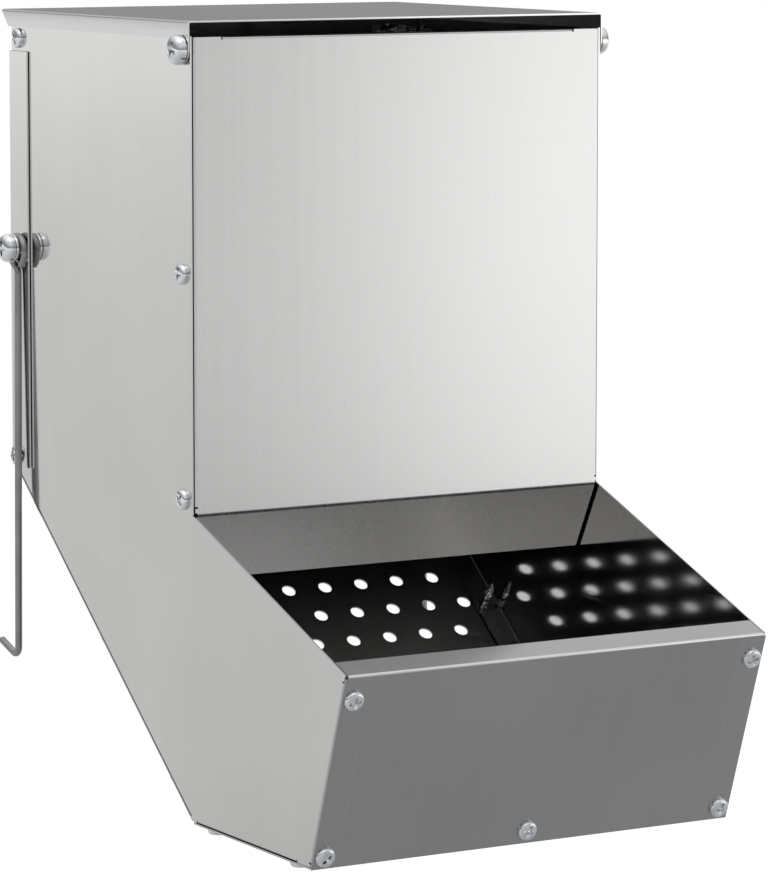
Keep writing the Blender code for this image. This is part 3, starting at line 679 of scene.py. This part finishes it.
studio = {
    "floorZ": -0.306, "floorSize": 60.0, "floorColour": (0.80, 0.80, 0.80),
    "floorRoughness": 0.9, "floorSheen": 0.1, "paperGlow": 0.64,
    # the dim spot and glow steps set the painted shade and painted light that metal sees in the
    # floor
    "paintedShadeSpot": (0.15, -0.32, -0.306),
    "paintedGlowSteps": ((0.22, 0.0), (1.1, 0.45), (3.2, 0.62), (9.0, 1.0)),
    "horizonHeights": (-0.01, 0.025), "skyHeights": (0.12, 0.60), "frontReach": (-0.25, 0.10),
    "skyLow": 0.28, "skyHigh": 0.95, "skyFront": 0.70, "fill": 0.44,
}


def makeFloor():
    mesh = bpy.data.meshes.new("studioFloor")
    half, z = studio["floorSize"] / 2, studio["floorZ"]
    mesh.from_pydata([(-half, -half, z), (half, -half, z), (half, half, z), (-half, half, z)], [],
                     [(0, 1, 2, 3)])
    floor = bpy.data.objects.new("studio_floor", mesh)
    scene.collection.objects.link(floor)
    material = bpy.data.materials.new("pale_floor")
    material.use_nodes = True
    tree = material.node_tree
    shader = tree.nodes["Principled BSDF"]
    shader.inputs["Base Color"].default_value = (*studio["floorColour"], 1)
    shader.inputs["Roughness"].default_value = studio["floorRoughness"]
    shader.inputs["Specular IOR Level"].default_value = studio["floorSheen"]
    # the floor glows white to the camera; to metal it shows painted shade, a dim patch in front
    # of the trough, and painted light, a glow that grows with distance
    spot = addNode(tree, "ShaderNodeTexCoord").outputs["Object"]
    away = addNode(tree, "ShaderNodeVectorMath", {0: spot, 1: studio["paintedShadeSpot"]},
                   operation="DISTANCE").outputs["Value"]
    paintedReflectionGlow = 0.0
    for (near, dim), (far, bright) in zip(studio["paintedGlowSteps"], studio["paintedGlowSteps"][1:]):
        paintedReflectionGlow = calc(tree, "ADD", ranged(tree, away, near, far, 0.0, bright - dim), paintedReflectionGlow)
    path = addNode(tree, "ShaderNodeLightPath").outputs
    mirrored = calc(tree, "MAXIMUM", path["Is Glossy Ray"], path["Is Transmission Ray"])
    seen = calc(tree, "MAXIMUM", path["Is Camera Ray"], calc(tree, "MULTIPLY", mirrored, paintedReflectionGlow))
    glow = addNode(tree, "ShaderNodeEmission", {"Color": (1, 1, 1, 1), "Strength":
                   calc(tree, "MULTIPLY", seen, studio["paperGlow"])})
    mix = addNode(tree, "ShaderNodeAddShader", {0: shader.outputs[0], 1: glow.outputs[0]})
    tree.links.new(mix.outputs[0], tree.nodes["Material Output"].inputs["Surface"])
    mesh.materials.append(material)


def makeSky():
    world = bpy.data.worlds.new("studio_sky")
    scene.world = world
    world.use_nodes = True
    tree = world.node_tree
    background = tree.nodes["Background"]
    toward = addNode(tree, "ShaderNodeTexCoord").outputs["Generated"]
    height = addNode(tree, "ShaderNodeSeparateXYZ", {0: toward}).outputs["Z"]
    horizon = ranged(tree, height, *studio["horizonHeights"], 1.0, studio["skyLow"],
                     "SMOOTHSTEP")
    above = ranged(tree, height, *studio["skyHeights"], 0.0,
                   studio["skyHigh"] - studio["skyLow"])
    # the sky over the front is dimmer than the sky over the back
    ahead = addNode(tree, "ShaderNodeSeparateXYZ", {0: toward}).outputs["Y"]
    dimmed = ranged(tree, ahead, *studio["frontReach"], studio["skyFront"], 1.0)
    above = calc(tree, "MULTIPLY", above, dimmed)
    mirrored = calc(tree, "ADD", horizon, above)
    path = addNode(tree, "ShaderNodeLightPath").outputs
    inMetal = calc(tree, "MAXIMUM", path["Is Glossy Ray"], path["Is Transmission Ray"])
    level = addNode(tree, "ShaderNodeMix", {0: inMetal, 2: studio["fill"], 3: mirrored})
    level = addNode(tree, "ShaderNodeMix", {0: path["Is Camera Ray"], 2: level.outputs[0],
                    3: 1.0})
    tree.links.new(level.outputs[0], background.inputs["Strength"])
    background.inputs["Color"].default_value = (1, 1, 1, 1)


lamps = {
    "front_softbox": {"spot": (0.973, -0.585, -0.02), "target": (0.473, 0.275, -0.02),
                      "size": (1.1, 0.50), "power": 1.35},
    "top_softbox": {"spot": (-0.3, -0.2, 1.9), "target": (0.0, 0.0, 0.0), "size": (1.6, 1.6),
                    "power": 6.0},
}


def makeLamps():
    for name, lamp in lamps.items():
        data = bpy.data.lights.new(name, "AREA")
        data.shape = "RECTANGLE"
        data.size, data.size_y = lamp["size"]
        data.energy = lamp["power"]
        light = bpy.data.objects.new(name, data)
        light.location = lamp["spot"]
        light.visible_camera = False
        toward = Vector(lamp["target"]) - Vector(lamp["spot"])
        light.rotation_euler = toward.to_track_quat("-Z", "Y").to_euler()
        scene.collection.objects.link(light)


photoCamera = {"spot": (-0.7804, -1.3263, 0.1376), "pitch": radians(6.266),
               "turn": radians(30.251), "lens": 186.13, "shiftY": -0.0917,
               "sensorWidth": 36, "farthest": 200}


def makeCamera():
    data = bpy.data.cameras.new("photo_camera")
    data.lens = photoCamera["lens"]
    data.sensor_width = photoCamera["sensorWidth"]
    data.shift_y = photoCamera["shiftY"]
    data.clip_end = photoCamera["farthest"]
    camera = bpy.data.objects.new("photo_camera", data)
    camera.location = photoCamera["spot"]
    camera.rotation_euler = (pi / 2 - photoCamera["pitch"], 0, -photoCamera["turn"])
    scene.collection.objects.link(camera)
    scene.camera = camera


makeFloor()
makeSky()
makeLamps()
makeCamera()
scene.view_settings.view_transform = "Standard"
print("studio: ready")
